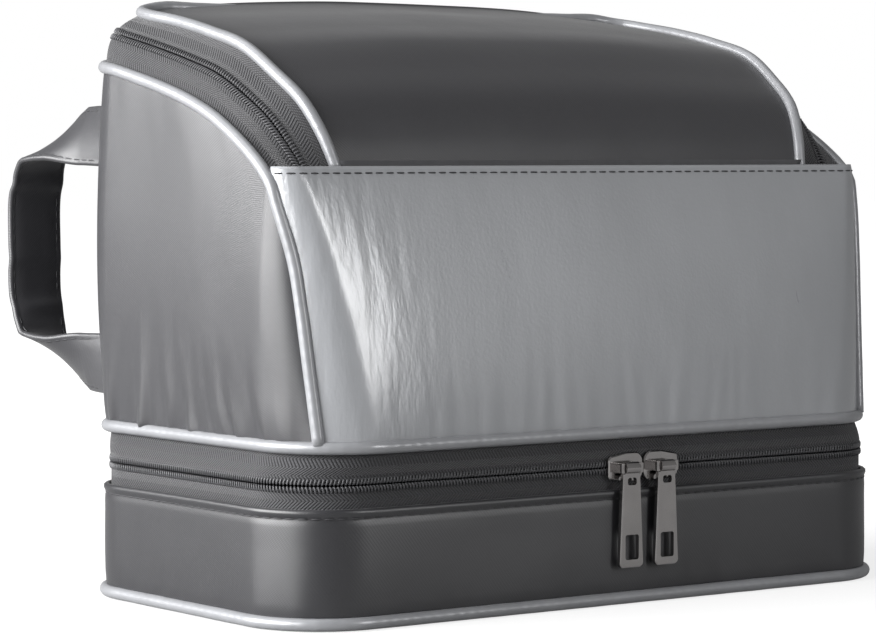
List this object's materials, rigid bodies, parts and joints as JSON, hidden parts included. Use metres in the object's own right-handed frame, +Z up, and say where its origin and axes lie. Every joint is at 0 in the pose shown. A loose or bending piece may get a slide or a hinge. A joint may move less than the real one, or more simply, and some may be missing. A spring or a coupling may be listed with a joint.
{
  "type": "toiletry bag",
  "caption": "Two-storey fabric toiletry bag with a zipped tray below, a zipped main compartment, a front pocket and a strap handle at one back corner.",
  "frame": {"origin": "middle of the tray's flat underside", "axes": "+X along the bag's width, -Y towards the front with the pocket, +Z up"},
  "size_m": [0.25, 0.1865, 0.1969],
  "materials": {
    "slider_metal": "polished gunmetal",
    "piping": "light silver grey coated piping",
    "coil": "charcoal nylon coil",
    "zip_tape": "charcoal herringbone tape",
    "lining": "thin dark woven lining",
    "pocket": "glossy silver grey coated leatherette",
    "side_cloth": "satin mid-grey cloth",
    "lid_cloth": "near-black satin cloth",
    "tray_cloth": "dark charcoal satin cloth",
    "strap": "satin grey faced strap"
  },
  "bodies": {
    "tray": {"tray_floor": "tray_cloth", "tray_wall": "tray_cloth", "tray_hem": "tray_cloth", "base_piping": "piping", "tray_lining": "lining", "tray_zip_tape": "zip_tape", "tray_zip_coil": "coil", "hinge_strip_lower": "tray_cloth"},
    "upper_body": {"partition_panel": "lining", "left_side_panel": "side_cloth", "right_side_panel": "side_cloth", "back_panel": "side_cloth", "front_panel": "lining", "front_pocket": "pocket", "pocket_hem": "pocket", "waist_piping": "piping", "body_piping": "piping", "main_lining": "lining", "body_lower_tape": "zip_tape", "body_lower_coil": "coil", "hinge_strip_upper": "tray_cloth", "body_zip_tape": "zip_tape", "body_zip_coil": "coil", "handle_strap": "strap"},
    "lid": {"lid_panel": "lid_cloth", "lid_lining": "lining", "lid_piping": "piping", "lid_zip_tape": "zip_tape", "lid_zip_coil": "coil"},
    "lower_left_pull": {"lower_left_pull": "slider_metal"},
    "lower_left_slider": {"lower_left_slider": "slider_metal"},
    "lower_right_pull": {"lower_right_pull": "slider_metal"},
    "lower_right_slider": {"lower_right_slider": "slider_metal"},
    "main_left_pull": {"main_left_pull": "slider_metal"},
    "main_left_slider": {"main_left_slider": "slider_metal"},
    "main_right_pull": {"main_right_pull": "slider_metal"},
    "main_right_slider": {"main_right_slider": "slider_metal"}
  },
  "joints": [
    {"name": "body_hinge", "type": "hinge", "parent": "tray", "child": "upper_body", "pos_m": [0, 0.064, 0.044], "axis": [-1, 0, 0], "range_deg": [0, 75]},
    {"name": "lid_hinge", "type": "hinge", "parent": "upper_body", "child": "lid", "pos_m": [0, -0.0514, 0.1408], "axis": [1, 0, 0], "range_deg": [0, 110]},
    {"name": "lower_left_slide", "type": "slide", "parent": "tray", "child": "lower_left_slider", "axis": [-1, 0, 0], "range_m": [0, 0.085]},
    {"name": "lower_right_slide", "type": "slide", "parent": "tray", "child": "lower_right_slider", "axis": [1, 0, 0], "range_m": [0, 0.07]},
    {"name": "main_left_slide", "type": "slide", "parent": "upper_body", "child": "main_left_slider", "axis": [-1, 0, 0], "range_m": [0, 0.076]},
    {"name": "main_right_slide", "type": "slide", "parent": "upper_body", "child": "main_right_slider", "axis": [1, 0, 0], "range_m": [0, 0.076]},
    {"name": "lower_left_pull_hinge", "type": "hinge", "parent": "lower_left_slider", "child": "lower_left_pull", "pos_m": [0.003, -0.06885, 0.044], "axis": [-1, 0, 0], "range_deg": [0, 150]},
    {"name": "lower_right_pull_hinge", "type": "hinge", "parent": "lower_right_slider", "child": "lower_right_pull", "pos_m": [0.0176, -0.06885, 0.044], "axis": [-1, 0, 0], "range_deg": [0, 150]},
    {"name": "main_left_pull_hinge", "type": "hinge", "parent": "main_left_slider", "child": "main_left_pull", "pos_m": [-0.0073, 0.06831, 0.18515], "axis": [1, 0, 0], "range_deg": [0, 120]},
    {"name": "main_right_pull_hinge", "type": "hinge", "parent": "main_right_slider", "child": "main_right_pull", "pos_m": [0.0073, 0.06831, 0.18515], "axis": [1, 0, 0], "range_deg": [0, 120]}
  ]
}
